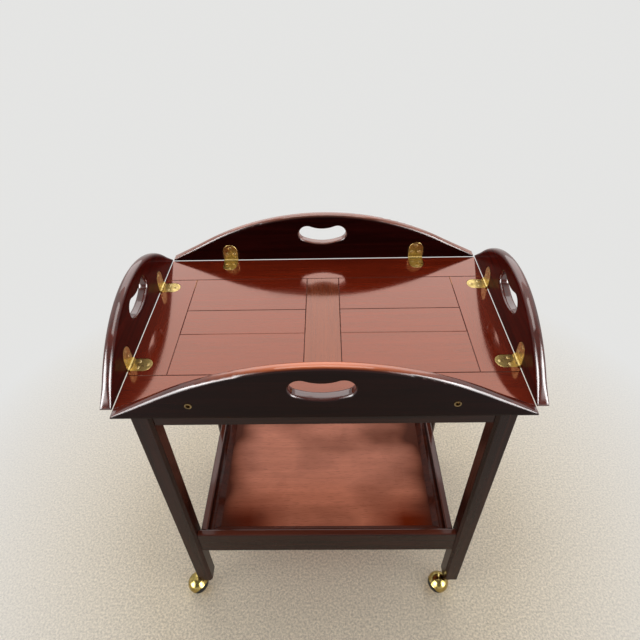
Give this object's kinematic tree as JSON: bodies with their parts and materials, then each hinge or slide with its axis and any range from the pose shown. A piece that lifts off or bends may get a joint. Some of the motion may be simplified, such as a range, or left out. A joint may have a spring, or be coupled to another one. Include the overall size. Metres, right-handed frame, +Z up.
{
  "type": "butlers tray table",
  "caption": "Butler's tray table: a lift-off wooden top with hinged curved flaps pierced by hand holes, on a legged base with a gallery shelf and ball casters.",
  "frame": {"origin": "on the floor below the middle of the top", "axes": "+X to the right along the long side, +Y to the back, +Z up; the front faces -Y"},
  "size_m": [0.6544, 0.4264, 0.7549],
  "materials": {
    "dark_mahogany": "high gloss",
    "top_mahogany": "high gloss",
    "shelf_mahogany": "high gloss",
    "brass": "polished, aged",
    "steel": "plain",
    "black_rubber": "satin"
  },
  "bodies": {
    "base": {"leg_front_left": "dark_mahogany", "leg_front_right": "dark_mahogany", "leg_rear_left": "dark_mahogany", "leg_rear_right": "dark_mahogany", "apron_front": "dark_mahogany", "apron_rear": "dark_mahogany", "apron_left": "dark_mahogany", "apron_right": "dark_mahogany", "shelf_rail_front": "dark_mahogany", "shelf_rail_rear": "dark_mahogany", "shelf_rail_left": "dark_mahogany", "shelf_rail_right": "dark_mahogany", "shelf_panel": "shelf_mahogany", "shelf_mouldings": "dark_mahogany", "caster_sockets": "brass", "caster_stems": "steel"},
    "tray": {"tray_rail_front": "top_mahogany", "tray_rail_rear": "top_mahogany", "tray_stile_left": "top_mahogany", "tray_stile_right": "top_mahogany", "tray_stile_centre": "top_mahogany", "tray_planks": "top_mahogany", "tray_battens": "dark_mahogany", "tray_batten_screws": "steel", "tray_hinge_leaves": "brass", "hinge_pins": "brass", "tray_hinge_screws": "brass"},
    "front_flap": {"flap_front": "dark_mahogany", "flap_front_hinge_leaves": "brass", "flap_front_hinge_screws": "brass", "flap_front_sleeve_nuts": "brass"},
    "rear_flap": {"flap_rear": "dark_mahogany", "flap_rear_hinge_leaves": "brass", "flap_rear_hinge_screws": "brass", "flap_rear_sleeve_nuts": "brass"},
    "left_flap": {"flap_left": "dark_mahogany", "flap_left_hinge_leaves": "brass", "flap_left_hinge_screws": "brass", "flap_left_sleeve_nuts": "brass"},
    "right_flap": {"flap_right": "dark_mahogany", "flap_right_hinge_leaves": "brass", "flap_right_hinge_screws": "brass", "flap_right_sleeve_nuts": "brass"},
    "front_left_swivel": {"caster_front_left_hood": "brass", "caster_front_left_axle": "steel"},
    "front_left_roller": {"caster_front_left_wheel": "brass", "caster_front_left_tyre": "black_rubber"},
    "front_right_swivel": {"caster_front_right_hood": "brass", "caster_front_right_axle": "steel"},
    "front_right_roller": {"caster_front_right_wheel": "brass", "caster_front_right_tyre": "black_rubber"},
    "rear_left_swivel": {"caster_rear_left_hood": "brass", "caster_rear_left_axle": "steel"},
    "rear_left_roller": {"caster_rear_left_wheel": "brass", "caster_rear_left_tyre": "black_rubber"},
    "rear_right_swivel": {"caster_rear_right_hood": "brass", "caster_rear_right_axle": "steel"},
    "rear_right_roller": {"caster_rear_right_wheel": "brass", "caster_rear_right_tyre": "black_rubber"}
  },
  "joints": [
    {"name": "tray_lift", "type": "slide", "parent": "base", "child": "tray", "axis": [0, 0, 1], "range_m": [0, 0.2]},
    {"name": "front_flap_hinge", "type": "hinge", "parent": "tray", "child": "front_flap", "pos_m": [0, -0.19445, 0.65495], "axis": [1, 0, 0], "range_deg": [0, 90]},
    {"name": "rear_flap_hinge", "type": "hinge", "parent": "tray", "child": "rear_flap", "pos_m": [0, 0.19445, 0.65495], "axis": [-1, 0, 0], "range_deg": [0, 90]},
    {"name": "left_flap_hinge", "type": "hinge", "parent": "tray", "child": "left_flap", "pos_m": [-0.30845, 0, 0.65495], "axis": [0, -1, 0], "range_deg": [0, 90]},
    {"name": "right_flap_hinge", "type": "hinge", "parent": "tray", "child": "right_flap", "pos_m": [0.30845, 0, 0.65495], "axis": [0, 1, 0], "range_deg": [0, 90]},
    {"name": "front_left_caster_turn", "type": "hinge", "parent": "base", "child": "front_left_swivel", "pos_m": [-0.275, -0.1755, 0.04], "axis": [0, 0, 1], "continuous": true},
    {"name": "front_left_caster_roll", "type": "hinge", "parent": "front_left_swivel", "child": "front_left_roller", "pos_m": [-0.29762, -0.18464, 0.0228], "axis": [0.6037, -0.4716, -0.6428], "continuous": true},
    {"name": "front_right_caster_turn", "type": "hinge", "parent": "base", "child": "front_right_swivel", "pos_m": [0.275, -0.1755, 0.04], "axis": [0, 0, 1], "continuous": true},
    {"name": "front_right_caster_roll", "type": "hinge", "parent": "front_right_swivel", "child": "front_right_roller", "pos_m": [0.25238, -0.18464, 0.0228], "axis": [-0.6943, -0.3237, -0.6428], "continuous": true},
    {"name": "rear_left_caster_turn", "type": "hinge", "parent": "base", "child": "rear_left_swivel", "pos_m": [-0.275, 0.1755, 0.04], "axis": [0, 0, 1], "continuous": true},
    {"name": "rear_left_caster_roll", "type": "hinge", "parent": "rear_left_swivel", "child": "rear_left_roller", "pos_m": [-0.25238, 0.18464, 0.0228], "axis": [-0.6037, 0.4716, -0.6428], "continuous": true},
    {"name": "rear_right_caster_turn", "type": "hinge", "parent": "base", "child": "rear_right_swivel", "pos_m": [0.275, 0.1755, 0.04], "axis": [0, 0, 1], "continuous": true},
    {"name": "rear_right_caster_roll", "type": "hinge", "parent": "rear_right_swivel", "child": "rear_right_roller", "pos_m": [0.25238, 0.16636, 0.0228], "axis": [-0.6943, -0.3237, -0.6428], "continuous": true}
  ]
}
